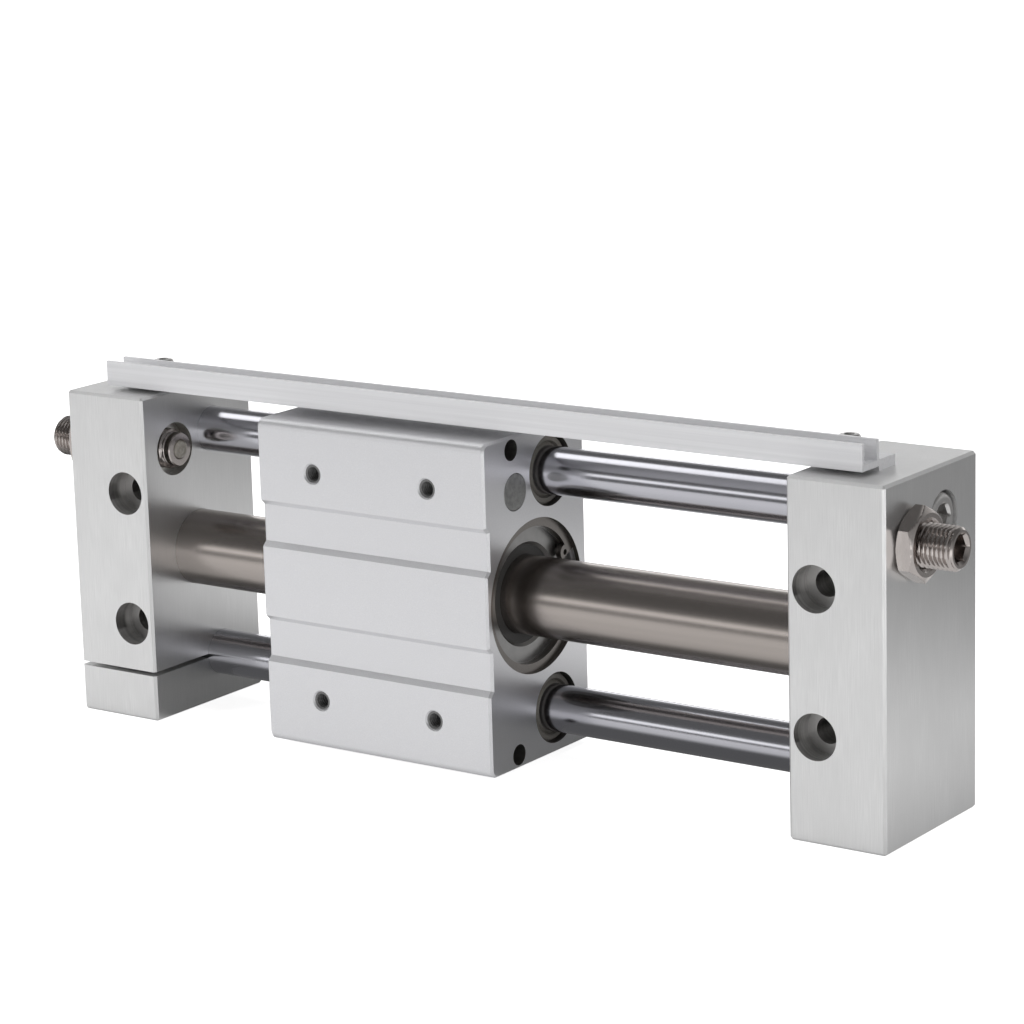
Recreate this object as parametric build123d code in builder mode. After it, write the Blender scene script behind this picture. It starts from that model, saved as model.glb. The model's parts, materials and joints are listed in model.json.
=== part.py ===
from build123d import *
import os
from math import cos, radians, sin, sqrt

# Guided magnetic rodless cylinder.
# A piston inside a closed stainless tube carries ring magnets, and ring magnets in the carriage
# outside the tube follow them. Two guide rods keep the carriage from turning about the tube, and
# an adjusting bolt in each end plate stops it.
#
# Frame, in millimetres: X along the tube, Y from the table face to the mounting face, Z up as the
# unit stands on the narrow ends of its plates. The origin is on the floor, under the middle.

os.makedirs("parts", exist_ok=True)

# Overall layout
stroke = 150.0              # carriage travel with both adjusting bolts screwed fully in
carriage_rest = -30.0       # X of the carriage's middle as the unit stands
tube_setback = 27.0         # tube axis behind the plates' front faces
rod_setback = 36.5          # rod axes behind the plates' front faces
bolt_setback = 16.25        # adjusting bolt axis behind the plates' front faces
bolt_drop = 3.5             # adjusting bolt axis below the upper rod axis
table_proud = 1.0           # table face in front of the plates' front faces

# Clearances, all radial unless they say otherwise
running_fit = 0.05          # sliding and turning pairs
bush_fit = 0.03             # guide bush on its rod
seat_fit = 0.02             # pieces that are pushed into a bore and stay there
screw_fit = 0.05            # screw in its tapped hole
face_gap = 0.1              # end to end, where two pieces must not quite meet
head_sink = 0.2             # screw heads below the face that they are sunk in
tap_spare = 1.0             # thread cut past the screw's end

# End plates
plate_thick = 34.0
plate_depth = 58.0
plate_spare = 1.75          # plates past the carriage, above and below
plate_edge = 0.9
mount_hole = 8.6            # clearance hole for M8
mount_head = 15.0           # its counterbore
mount_head_depth = 8.6
mount_inset = 24.5          # hole axes from the outer face
mount_spread = 46.5         # between the two holes of one plate

# Tube
tube_bore = 25.0
tube_wall = 0.7
tube_seat = 12.0            # depth of tube held in each plate
cavity_radius = 10.0        # air space in the plate behind the tube's end
cavity_depth = 12.0
cord_section = 1.8          # section diameter of the round sealing rings
cord_groove = 2.2           # width of the sealing rings' grooves
cord_inset = 5.0            # sealing ring groove from the inner face
port_radius = 4.864         # G1/8 thread, at its outer diameter
port_depth = 8.0
port_land = 4.5             # metal between the left port and the tube's air space
air_drill = 5.0             # drilled air passages

# Guide rods
rod_diameter = 16.0
rod_chamfer = 0.8
upper_rod_seat = 16.0
rod_screw = 10.0            # M10 socket head screws
rod_screw_head = 16.0
rod_screw_head_height = 10.0
rod_screw_counterbore = 17.5
rod_screw_grip = 16.0       # thread length in the rod's end
rod_screw_socket = 8.0
rod_screw_socket_depth = 5.0
lower_rod_seat = 18.0       # in the right plate
lower_rod_shoulder = 1.6    # step that its end rests against
lower_rod_bore = 8.0        # the lower rod is an air pipe too
lower_rod_recess = 1.0      # its open end inside the left plate's outer face
rod_port_depth = 10.0

# Clamp slit and its screw in the left plate
slit_width = 1.5
clamp_screw = 6.0
clamp_screw_head = 10.0
clamp_screw_counterbore = 10.8
clamp_screw_head_height = 6.0
clamp_screw_length = 22.0
clamp_screw_clear = 6.6
clamp_screw_socket = 5.0
clamp_screw_socket_depth = 3.0
clamp_screw_inset = 15.0    # from the outer face
clamp_screw_setback = 13.0  # behind the front face

# Plug in the drilled air passage of the right plate
plug_thread = 6.0
plug_length = 6.0
plug_socket = 3.0
plug_socket_depth = 3.0

# Adjusting bolts, M14 x 1.5
bolt_diameter = 14.0
bolt_outside = 17.0         # bolt standing out of the plate's outer face
bolt_tip_proud = 3.25       # bumper face standing out of the plate's inner face
bolt_adjust = 3.25          # travel each way from there
bolt_socket = 8.0
bolt_socket_depth = 8.0
bolt_chamfer = 1.1
bolt_recess = 18.5          # counterbore round the bolt's tip
bolt_recess_depth = 4.0
bumper_diameter = 6.3
bumper_proud = 0.75
bumper_length = 6.0
bumper_round = 0.6
lock_nut_flats = 21.0
lock_nut_thick = 6.0

# Switch rail
rail_inset = 12.0           # rail's ends from the plates' outer faces
rail_setback = 8.0          # channel front behind the plates' front faces
rail_channel_width = 10.0
rail_flange_width = 10.0
rail_flange_thick = 3.5
rail_top = 10.0             # channel rim above the plates
rail_lift = 1.5             # channel underside above the plates
rail_wall = 1.2
rail_screw = 4.0
rail_screw_clear = 4.4
rail_screw_head = 7.0
rail_screw_head_height = 4.0
rail_screw_depth = 8.0
rail_screw_inset = 25.0     # from the plate's outer face
rail_screw_socket = 3.0
rail_screw_socket_depth = 2.0
rail_washer = 8.0
rail_washer_thick = 0.8
spring_washer_thick = 1.0

# Carriage block
carriage_length = 93.0
carriage_depth = 57.0
carriage_front_round = 3.0
carriage_edge = 0.8
band_inner = 12.0           # recessed bands on the table face, from the tube axis
band_outer = 28.0
band_depth = 1.75
table_hole = 6.0            # M6, at the thread's outer diameter
table_hole_depth = 12.0
table_hole_chamfer = 0.6
table_hole_pitch_x = 47.0
table_hole_pitch_z = 78.0
corner_hole = 7.0           # magnet holes near the corners
corner_hole_setback = 14.5
corner_hole_inset = 4.55    # hole axes from the carriage's top and bottom
slider_bore = 52.0          # bore for the magnet slider
guide_bore = 24.0           # bores for the guide bushes
bore_web = 3.6              # metal between the slider's bore and a guide bore
guide_wall = 3.25           # metal above the upper guide bore and below the lower one
striker_diameter = 12.6
striker_depth = 4.0
striker_chamfer = 0.3

# Guide bushes and their scrapers
bush_length = 28.0
scraper_inset = 1.5
scraper_thick = 3.0
scraper_lip = 0.8           # width of the step round the scraper's face

# Magnet slider inside the carriage
ring_inset = 1.5            # retaining ring from the end face
ring_thick = 2.0
ring_width = 3.0
ring_groove = 0.8
ring_opening = 15.0         # the ring's gap, as an angle about the tube axis
ring_lug_spread = 22.0      # between its two lugs, the same way
ring_gap_place = 18.0       # where the gap is, from +Y towards +Z
ring_lug_radius = 2.6
ring_lug_inset = 1.3        # lug's middle inside the ring's inner edge
ring_lug_hole = 2.0
cover_thick = 8.0
cover_dish = 1.0
cover_rim = 3.5
cover_hole = 33.0
cover_chamfer = 1.0
tube_scraper_inset = 2.0
tube_scraper_thick = 3.0
slider_wear_thick = 3.0
sleeve_wall = 2.5
magnet_count = 4
magnet_thick = 7.5
outer_stack_bore = 28.4
switch_magnet_length = 12.0

# Piston
shaft_diameter = 8.0
inner_magnet_diameter = 23.0
inner_yoke_diameter = 24.4
piston_length = 14.0
piston_diameter = 24.6
piston_seal_thick = 3.0
piston_seal_groove = 2.5
piston_seal_inset = 9.5
piston_wear_thick = 4.0
piston_wear_groove = 1.0
piston_wear_inset = 3.0
piston_nut_flats = 13.0
piston_nut_thick = 5.0
piston_bumper_bore = 17.0
piston_bumper_outside = 23.0
piston_bumper_proud = 1.5   # beyond the shaft's end
shaft_past_nut = 0.5

# Places worked out from the sizes above
tube_outside = tube_bore + 2 * tube_wall
bolt_reach = bolt_tip_proud + bolt_adjust
inner_face = stroke / 2 + carriage_length / 2 + bolt_reach
outer_face = inner_face + plate_thick
front_face = -(plate_depth - table_proud) / 2
back_face = front_face + plate_depth
table_face = front_face - table_proud
tube_y = front_face + tube_setback
rod_y = front_face + rod_setback
bolt_y = front_face + bolt_setback
bore_spread = slider_bore / 2 + bore_web + guide_bore / 2
rod_rise = round(sqrt(bore_spread ** 2 - (rod_y - tube_y) ** 2), 2)
carriage_height = 2 * (rod_rise + guide_bore / 2 + guide_wall)
plate_height = carriage_height + 2 * plate_spare
tube_z = plate_height / 2
upper_z = tube_z + rod_rise
lower_z = tube_z - rod_rise
bolt_z = upper_z - bolt_drop
corner_hole_rise = carriage_height / 2 - corner_hole_inset
tube_end = inner_face + tube_seat
cavity_end = tube_end + cavity_depth
upper_rod_end = inner_face + upper_rod_seat
lower_rod_end = inner_face + lower_rod_seat
air_drill_x = (lower_rod_end + cavity_end) / 2
air_drill_y = (tube_y + rod_y) / 2
mount_x = outer_face - mount_inset
clamp_x = -(outer_face - clamp_screw_inset)
clamp_y = front_face + clamp_screw_setback
rail_screw_x = outer_face - rail_screw_inset
rail_length = 2 * (outer_face - rail_inset)
rail_front = front_face + rail_setback
rail_step = rail_front + rail_channel_width
rail_back = rail_step + rail_flange_width
rail_screw_y = rail_step + rail_flange_width / 2
carriage_left = carriage_rest - carriage_length / 2
carriage_right = carriage_rest + carriage_length / 2
carriage_ends = ((carriage_left, 1), (carriage_right, -1))
corner_hole_y = front_face + corner_hole_setback
rod_places = ((rod_y, upper_z), (rod_y, lower_z))
cover_inset = ring_inset + ring_thick
stack_length = carriage_length - 2 * (cover_inset + cover_thick)
stack_start = carriage_rest - stack_length / 2
yoke_thick = (stack_length - magnet_count * magnet_thick) / (magnet_count + 1)
stack_pitch = magnet_thick + yoke_thick
sleeve_bore = slider_bore - 2 * sleeve_wall
shaft_reach = stack_length / 2 + piston_length + piston_nut_thick + shaft_past_nut
bumper_inner = inner_face - bolt_tip_proud
bolt_inner = bumper_inner + bumper_proud
bolt_outer = outer_face + bolt_outside


def across(x):
    """Plane square to the tube at x: its own x is Y, its own y is Z, and it faces +X."""
    return Plane.YZ.offset(x)


def facing_front(y):
    """Plane at depth y that faces the viewer (-Y): its own x is X and its own y is Z."""
    return Plane.XZ.offset(-y)


def disc(x0, x1, radius, y, z, mode=Mode.ADD):
    """Round bar or hole along X, from x0 to x1."""
    with BuildSketch(across(x0)) as outline:
        with Locations((y, z)):
            Circle(radius)
    extrude(outline.sketch, amount=x1 - x0, mode=mode)


def ring(x0, x1, outer, inner, y, z, mode=Mode.ADD):
    """Flat ring along X, from x0 to x1."""
    with BuildSketch(across(x0)) as outline:
        with Locations((y, z)):
            Circle(outer)
            Circle(inner, mode=Mode.SUBTRACT)
    extrude(outline.sketch, amount=x1 - x0, mode=mode)


def hexagon(x0, x1, flats, y, z, mode=Mode.ADD, turn=0):
    """Hexagon bar or socket along X, with two corners along Y at turn 0."""
    with BuildSketch(across(x0)) as outline:
        with Locations((y, z)):
            RegularPolygon(flats / 2, 6, major_radius=False, rotation=turn)
    extrude(outline.sketch, amount=x1 - x0, mode=mode)


def post(z0, z1, radius, x, y, mode=Mode.ADD):
    """Round bar or hole along Z, from z0 to z1."""
    with BuildSketch(Plane.XY.offset(z0)) as outline:
        with Locations((x, y)):
            Circle(radius)
    extrude(outline.sketch, amount=z1 - z0, mode=mode)


def sealing_ring(x, radius, y, z):
    """Round-section sealing ring whose inner edge lies just outside the radius."""
    centre = radius + seat_fit + cord_section / 2
    with BuildSketch(Plane.XY.offset(z)) as section:
        with Locations((x, y + centre)):
            Circle(cord_section / 2)
    revolve(section.sketch, axis=Axis((x, y, z), (1, 0, 0)))


def seal_groove(side, radius, y, z):
    """Groove for a sealing ring in a bore that opens on the plate's inner face."""
    start = side * (inner_face + cord_inset)
    end = start + side * cord_groove
    disc(start, end, radius + cord_section + 2 * seat_fit, y, z, Mode.SUBTRACT)


def save(piece, label):
    """Label a finished piece and write it to its own file."""
    piece.part.label = label
    export_step(piece.part, f"parts/{label}.step")


def plate_body(side):
    """The cuts that both end plates share, on the plate at the left (-1) or right (+1)."""
    inner, outer = side * inner_face, side * outer_face
    middle_x = (inner + outer) / 2
    with BuildSketch(Plane.XY) as outline:
        with Locations((middle_x, (front_face + back_face) / 2)):
            Rectangle(plate_thick, plate_depth)
    extrude(outline.sketch, amount=plate_height)
    chamfer(edges(), plate_edge)
    # the tube's seat, its sealing groove and the air space behind it
    disc(inner, side * tube_end, tube_outside / 2 + seat_fit, tube_y, tube_z, Mode.SUBTRACT)
    seal_groove(side, tube_outside / 2, tube_y, tube_z)
    # the upper rod's seat, and the counterbored hole for the screw that holds it
    upper_seat_end = side * upper_rod_end
    disc(inner, upper_seat_end, rod_diameter / 2 + seat_fit, rod_y, upper_z, Mode.SUBTRACT)
    disc(upper_seat_end, outer, rod_screw / 2 + screw_fit, rod_y, upper_z, Mode.SUBTRACT)
    head_floor = outer - side * (rod_screw_head_height + head_sink)
    disc(head_floor, outer, rod_screw_counterbore / 2, rod_y, upper_z, Mode.SUBTRACT)
    # the adjusting bolt's tapped hole, and the recess round its tip
    disc(inner, outer, bolt_diameter / 2, bolt_y, bolt_z, Mode.SUBTRACT)
    disc(inner, inner + side * bolt_recess_depth, bolt_recess / 2, bolt_y, bolt_z, Mode.SUBTRACT)
    # two counterbored mounting holes from the front face to the mounting face
    with Locations(facing_front(front_face)):
        with Locations(*((side * mount_x, tube_z + way * mount_spread / 2) for way in (-1, 1))):
            CounterBoreHole(mount_hole / 2, mount_head / 2, mount_head_depth)
    # the switch rail's tapped hole
    post(plate_height - rail_screw_depth, plate_height, rail_screw / 2, side * rail_screw_x,
         rail_screw_y, Mode.SUBTRACT)


# Right end plate: it takes the air that comes through the hollow lower rod
with BuildPart() as right_end_plate:
    plate_body(1)
    disc(tube_end, cavity_end, cavity_radius, tube_y, tube_z, Mode.SUBTRACT)
    disc(inner_face, lower_rod_end, rod_diameter / 2 + seat_fit, rod_y, lower_z, Mode.SUBTRACT)
    seal_groove(1, rod_diameter / 2, rod_y, lower_z)
    shoulder_radius = rod_diameter / 2 - lower_rod_shoulder
    disc(lower_rod_end, cavity_end, shoulder_radius, rod_y, lower_z, Mode.SUBTRACT)
    post(0, tube_z - cavity_radius / 2, air_drill / 2, air_drill_x, air_drill_y, Mode.SUBTRACT)
    post(0, plug_length + face_gap, plug_thread / 2, air_drill_x, air_drill_y, Mode.SUBTRACT)
save(right_end_plate, "right_end_plate")

# Left end plate: a slit lets one screw clamp it round the lower rod
with BuildPart() as left_end_plate:
    plate_body(-1)
    left_cavity_end = outer_face - port_depth - port_land
    disc(-left_cavity_end, -tube_end, cavity_radius, tube_y, tube_z, Mode.SUBTRACT)
    disc(-outer_face, -tube_end, air_drill / 2, tube_y, tube_z, Mode.SUBTRACT)
    disc(-outer_face, -(outer_face - port_depth), port_radius, tube_y, tube_z, Mode.SUBTRACT)
    disc(-outer_face, -inner_face, rod_diameter / 2 + seat_fit, rod_y, lower_z, Mode.SUBTRACT)
    with BuildSketch(across(-outer_face)):
        with Locations(((front_face + rod_y) / 2, lower_z)):
            Rectangle(rod_y - front_face, slit_width)
    extrude(amount=plate_thick, mode=Mode.SUBTRACT)
    head_top = clamp_screw_head_height + face_gap
    thread_top = head_top + clamp_screw_length + tap_spare
    post(0, head_top, clamp_screw_counterbore / 2, clamp_x, clamp_y, Mode.SUBTRACT)
    post(0, lower_z, clamp_screw_clear / 2, clamp_x, clamp_y, Mode.SUBTRACT)
    post(lower_z, thread_top, clamp_screw / 2, clamp_x, clamp_y, Mode.SUBTRACT)
save(left_end_plate, "left_end_plate")

with BuildPart() as cylinder_tube:
    ring(-tube_end + face_gap, tube_end - face_gap, tube_outside / 2, tube_bore / 2, tube_y, tube_z)
save(cylinder_tube, "cylinder_tube")

with BuildPart() as tube_seals:
    for side in (-1, 1):
        sealing_ring(side * (inner_face + cord_inset + cord_groove / 2), tube_outside / 2, tube_y, tube_z)
save(tube_seals, "tube_seals")

with BuildPart() as rod_seal:
    sealing_ring(inner_face + cord_inset + cord_groove / 2, rod_diameter / 2, rod_y, lower_z)
save(rod_seal, "rod_seal")

with BuildPart() as upper_guide_rod:
    disc(-upper_rod_end, upper_rod_end, rod_diameter / 2, rod_y, upper_z)
    chamfer(edges().filter_by(GeomType.CIRCLE), rod_chamfer)
    for side in (-1, 1):
        end = side * upper_rod_end
        tap_end = end - side * (rod_screw_grip + tap_spare)
        disc(tap_end, end, rod_screw / 2, rod_y, upper_z, Mode.SUBTRACT)
save(upper_guide_rod, "upper_guide_rod")

# The lower rod is hollow, and a fitting screws into its open left end
with BuildPart() as lower_guide_rod:
    lower_start = -(outer_face - lower_rod_recess)
    disc(lower_start, lower_rod_end, rod_diameter / 2, rod_y, lower_z)
    chamfer(edges().filter_by(GeomType.CIRCLE), rod_chamfer)
    disc(lower_start, lower_rod_end, lower_rod_bore / 2, rod_y, lower_z, Mode.SUBTRACT)
    disc(lower_start, lower_start + rod_port_depth, port_radius, rod_y, lower_z, Mode.SUBTRACT)
save(lower_guide_rod, "lower_guide_rod")

with BuildPart() as rod_screws:
    for side in (-1, 1):
        floor = side * (outer_face - rod_screw_head_height - head_sink)
        top = floor + side * rod_screw_head_height
        disc(floor, top, rod_screw_head / 2, rod_y, upper_z)
        disc(side * (upper_rod_end - rod_screw_grip), floor, rod_screw / 2 - screw_fit, rod_y, upper_z)
        socket_floor = top - side * rod_screw_socket_depth
        hexagon(socket_floor, top, rod_screw_socket, rod_y, upper_z, Mode.SUBTRACT)
save(rod_screws, "rod_screws")

with BuildPart() as clamp_screw_piece:
    head_top = clamp_screw_head_height + face_gap
    post(face_gap, head_top, clamp_screw_head / 2, clamp_x, clamp_y)
    post(head_top, head_top + clamp_screw_length, clamp_screw / 2 - screw_fit, clamp_x, clamp_y)
    with BuildSketch(Plane.XY.offset(face_gap)):
        with Locations((clamp_x, clamp_y)):
            RegularPolygon(clamp_screw_socket / 2, 6, major_radius=False)
    extrude(amount=clamp_screw_socket_depth, mode=Mode.SUBTRACT)
save(clamp_screw_piece, "clamp_screw")

with BuildPart() as passage_plug:
    post(face_gap, plug_length, plug_thread / 2 - screw_fit, air_drill_x, air_drill_y)
    with BuildSketch(Plane.XY.offset(face_gap)):
        with Locations((air_drill_x, air_drill_y)):
            RegularPolygon(plug_socket / 2, 6, major_radius=False)
    extrude(amount=plug_socket_depth, mode=Mode.SUBTRACT)
save(passage_plug, "passage_plug")

# Switch rail: an open channel for the sensor, and a low flange that the screws hold down
with BuildPart() as switch_rail:
    rim = plate_height + rail_top
    floor = plate_height + rail_flange_thick
    with BuildSketch(across(-rail_length / 2)):
        with BuildLine():
            Polyline(
                (rail_front, plate_height + rail_lift), (rail_step, plate_height + rail_lift),
                (rail_step, plate_height), (rail_back, plate_height), (rail_back, floor),
                (rail_step, floor), (rail_step, rim), (rail_step - rail_wall, rim),
                (rail_step - rail_wall, floor), (rail_front + rail_wall, floor),
                (rail_front + rail_wall, rim), (rail_front, rim), close=True)
        make_face()
    extrude(amount=rail_length)
    for side in (-1, 1):
        post(plate_height, floor, rail_screw_clear / 2, side * rail_screw_x, rail_screw_y, Mode.SUBTRACT)
save(switch_rail, "switch_rail")

rail_floor = plate_height + rail_flange_thick
spring_floor = rail_floor + rail_washer_thick
rail_head_floor = spring_floor + spring_washer_thick

with BuildPart() as rail_washers:
    for side in (-1, 1):
        for low, high, width in ((rail_floor, spring_floor, rail_washer),
                                 (spring_floor + seat_fit, rail_head_floor, rail_screw_head)):
            post(low, high, width / 2, side * rail_screw_x, rail_screw_y)
            post(low, high, rail_screw / 2 + screw_fit, side * rail_screw_x, rail_screw_y, Mode.SUBTRACT)
save(rail_washers, "rail_washers")

with BuildPart() as rail_screws:
    for side in (-1, 1):
        x = side * rail_screw_x
        top = rail_head_floor + rail_screw_head_height
        post(rail_head_floor, top, rail_screw_head / 2, x, rail_screw_y)
        shank_end = plate_height - rail_screw_depth + face_gap
        post(shank_end, rail_head_floor, rail_screw / 2 - screw_fit, x, rail_screw_y)
        with BuildSketch(Plane.XY.offset(top - rail_screw_socket_depth)):
            with Locations((x, rail_screw_y)):
                RegularPolygon(rail_screw_socket / 2, 6, major_radius=False)
        extrude(amount=rail_screw_socket_depth, mode=Mode.SUBTRACT)
save(rail_screws, "rail_screws")

# Lock nuts: hexagon bar with its corners turned to a cone on both faces
with BuildPart() as lock_nuts:
    for side in (-1, 1):
        start, end = side * outer_face, side * (outer_face + lock_nut_thick)
        hexagon(start, end, lock_nut_flats, bolt_y, bolt_z, turn=30)
    corner = lock_nut_flats / cos(radians(30)) / 2
    turned = corner - lock_nut_flats / 2
    with BuildSketch(Plane.XY.offset(bolt_z)):
        for side in (-1, 1):
            for face, way in ((outer_face, 1), (outer_face + lock_nut_thick, -1)):
                with BuildLine():
                    Polyline((side * face, bolt_y + corner + turned),
                             (side * face, bolt_y + lock_nut_flats / 2),
                             (side * (face + way * turned), bolt_y + corner + turned), close=True)
                make_face()
    revolve(axis=Axis((0, bolt_y, bolt_z), (1, 0, 0)), mode=Mode.SUBTRACT)
    disc(-bolt_outer, bolt_outer, bolt_diameter / 2, bolt_y, bolt_z, Mode.SUBTRACT)
save(lock_nuts, "lock_nuts")

# Adjusting bolts and the soft bumpers pushed into their tips
for side, name in ((-1, "left"), (1, "right")):
    with BuildPart() as adjusting_bolt:
        disc(side * bolt_inner, side * bolt_outer, bolt_diameter / 2 - running_fit, bolt_y, bolt_z)
        chamfer(edges().filter_by(GeomType.CIRCLE), bolt_chamfer)
        disc(side * bolt_inner, side * (bolt_inner + bumper_length), bumper_diameter / 2 + running_fit,
             bolt_y, bolt_z, Mode.SUBTRACT)
        hexagon(side * (bolt_outer - bolt_socket_depth), side * bolt_outer, bolt_socket, bolt_y, bolt_z,
                Mode.SUBTRACT)
    save(adjusting_bolt, f"{name}_adjusting_bolt")

    with BuildPart() as bumper:
        bumper_end = bolt_inner + bumper_length - face_gap
        disc(side * bumper_inner, side * bumper_end, bumper_diameter / 2, bolt_y, bolt_z)
        rims = edges().filter_by(GeomType.CIRCLE).sort_by(Axis.X)
        fillet(rims[0] if side > 0 else rims[-1], bumper_round)
    save(bumper, f"{name}_bumper")

# Carriage block: a shallow band is milled each side of the table's middle pad
with BuildPart() as carriage_block:
    back = table_face + carriage_depth
    band_floor = table_face + band_depth
    low, high = tube_z - carriage_height / 2, tube_z + carriage_height / 2
    with BuildSketch(across(carriage_left)) as section:
        with BuildLine():
            Polyline(
                (table_face, low), (back, low), (back, high), (table_face, high),
                (table_face, tube_z + band_outer), (band_floor, tube_z + band_outer - band_depth),
                (band_floor, tube_z + band_inner + band_depth), (table_face, tube_z + band_inner),
                (table_face, tube_z - band_inner), (band_floor, tube_z - band_inner - band_depth),
                (band_floor, tube_z - band_outer + band_depth), (table_face, tube_z - band_outer),
                close=True)
        make_face()
        corners = section.vertices().group_by(Axis.X)[0].sort_by(Axis.Y)
        fillet([corners[0], corners[-1]], carriage_front_round)
        chamfer(section.vertices().group_by(Axis.X)[-1], carriage_edge)
    extrude(amount=carriage_length)
    chamfer(faces().sort_by(Axis.X)[0].edges() + faces().sort_by(Axis.X)[-1].edges(), carriage_edge)
    # bore for the magnet slider, with a groove near each end for its retaining ring
    disc(carriage_left, carriage_right, slider_bore / 2, tube_y, tube_z, Mode.SUBTRACT)
    for face, way in carriage_ends:
        disc(face + way * ring_inset, face + way * (ring_inset + ring_thick + seat_fit),
             slider_bore / 2 + ring_groove, tube_y, tube_z, Mode.SUBTRACT)
        disc(face, face + way * striker_depth, striker_diameter / 2, bolt_y, bolt_z, Mode.SUBTRACT)
    # bores for the guide bushes
    for y, z in rod_places:
        disc(carriage_left, carriage_right, guide_bore / 2, y, z, Mode.SUBTRACT)
    # magnet holes near the corners
    for z in (tube_z - corner_hole_rise, tube_z + corner_hole_rise):
        disc(carriage_left, carriage_right, corner_hole / 2, corner_hole_y, z, Mode.SUBTRACT)
    # tapped holes in the table face
    with Locations(facing_front(table_face)):
        with Locations((carriage_rest, tube_z)):
            with GridLocations(table_hole_pitch_x, table_hole_pitch_z, 2, 2):
                CounterSinkHole(table_hole / 2, table_hole / 2 + table_hole_chamfer, table_hole_depth)
save(carriage_block, "carriage_block")

with BuildPart() as striker_pads:
    for face, way in carriage_ends:
        disc(face, face + way * (striker_depth - seat_fit), striker_diameter / 2 - seat_fit, bolt_y, bolt_z)
    chamfer(edges().filter_by(GeomType.CIRCLE), striker_chamfer)
save(striker_pads, "striker_pads")

with BuildPart() as switch_magnet:
    disc(carriage_rest - switch_magnet_length / 2, carriage_rest + switch_magnet_length / 2,
         corner_hole / 2 - seat_fit, corner_hole_y, tube_z + corner_hole_rise)
save(switch_magnet, "switch_magnet")

# Guide bushes, and in front of each a scraper with a stepped rim
with BuildPart() as guide_bushes:
    for face, way in carriage_ends:
        start = face + way * (scraper_inset + scraper_thick)
        for y, z in rod_places:
            ring(start, start + way * bush_length, guide_bore / 2 - seat_fit, rod_diameter / 2 + bush_fit,
                 y, z)
save(guide_bushes, "guide_bushes")

with BuildPart() as rod_scrapers:
    for face, way in carriage_ends:
        start = face + way * scraper_inset
        step = start + way * scraper_thick / 2
        for y, z in rod_places:
            ring(start, step, guide_bore / 2 - scraper_lip, rod_diameter / 2 + running_fit, y, z)
            ring(step, start + way * scraper_thick, guide_bore / 2 - seat_fit, rod_diameter / 2 + running_fit,
                 y, z)
save(rod_scrapers, "rod_scrapers")

# Retaining rings: open rings with a drilled lug each side of the gap
with BuildPart() as retaining_rings:
    outer_edge = slider_bore / 2 + ring_groove - seat_fit
    lug_orbit = slider_bore / 2 - ring_width - ring_lug_inset
    lug_turns = (ring_gap_place - ring_lug_spread / 2, ring_gap_place + ring_lug_spread / 2)
    gap_sides = [radians(ring_gap_place + way * ring_opening / 2) for way in (-1, 1)]
    for face, way in carriage_ends:
        start = face + way * ring_inset
        with BuildSketch(across(start)) as outline:
            with Locations((tube_y, tube_z)):
                Circle(outer_edge)
                Circle(slider_bore / 2 - ring_width, mode=Mode.SUBTRACT)
                for turn in lug_turns:
                    with PolarLocations(lug_orbit, 1, start_angle=turn):
                        Circle(ring_lug_radius)
                gap_points = [(slider_bore * cos(turn), slider_bore * sin(turn)) for turn in gap_sides]
                with BuildLine(mode=Mode.PRIVATE) as wedge:
                    Polyline((0, 0), *gap_points, close=True)
                add(make_face(wedge.edges(), mode=Mode.PRIVATE), mode=Mode.SUBTRACT)
                for turn in lug_turns:
                    with PolarLocations(lug_orbit, 1, start_angle=turn):
                        Circle(ring_lug_hole / 2, mode=Mode.SUBTRACT)
        extrude(outline.sketch, amount=way * ring_thick)
save(retaining_rings, "retaining_rings")

# Covers that close the magnet slider, dished round the tube
with BuildPart() as slider_covers:
    for face, way in carriage_ends:
        start = face + way * cover_inset
        end = start + way * cover_thick
        ring(start, end, slider_bore / 2 - running_fit, cover_hole / 2, tube_y, tube_z)
        disc(start, start + way * cover_dish, slider_bore / 2 - cover_rim, tube_y, tube_z, Mode.SUBTRACT)
        rims = edges().filter_by(GeomType.CIRCLE)
        mouth = rims.filter_by(lambda edge: abs(edge.radius - cover_hole / 2) < seat_fit)
        chamfer(mouth.sort_by_distance((face, tube_y, tube_z))[0], cover_chamfer)
save(slider_covers, "slider_covers")

with BuildPart() as tube_scrapers:
    for face, way in carriage_ends:
        start = face + way * (cover_inset + tube_scraper_inset)
        ring(start, start + way * tube_scraper_thick, cover_hole / 2 - seat_fit, tube_outside / 2 + running_fit,
             tube_y, tube_z)
save(tube_scrapers, "tube_scrapers")

with BuildPart() as slider_wear_rings:
    for face, way in carriage_ends:
        start = face + way * (cover_inset + tube_scraper_inset + tube_scraper_thick)
        ring(start, start + way * slider_wear_thick, cover_hole / 2 - seat_fit, tube_outside / 2 + running_fit,
             tube_y, tube_z)
save(slider_wear_rings, "slider_wear_rings")

with BuildPart() as magnet_sleeve:
    stack_end = stack_start + stack_length
    ring(stack_start, stack_end, slider_bore / 2 - running_fit, sleeve_bore / 2, tube_y, tube_z)
save(magnet_sleeve, "magnet_sleeve")

# Ring magnets between yokes, outside the tube and, at the same places, on the piston's shaft
for label, outer, inner in (("outer", sleeve_bore - 2 * running_fit, outer_stack_bore),
                            ("inner", inner_magnet_diameter, shaft_diameter + 2 * running_fit)):
    with BuildPart() as magnets:
        for index in range(magnet_count):
            start = stack_start + yoke_thick + index * stack_pitch
            ring(start, start + magnet_thick, outer / 2, inner / 2, tube_y, tube_z)
    save(magnets, f"{label}_magnets")

    yoke_outer = inner_yoke_diameter if label == "inner" else outer
    with BuildPart() as yokes:
        for index in range(magnet_count + 1):
            start = stack_start + index * stack_pitch
            ring(start, start + yoke_thick, yoke_outer / 2, inner / 2, tube_y, tube_z)
    save(yokes, f"{label}_yokes")

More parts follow.
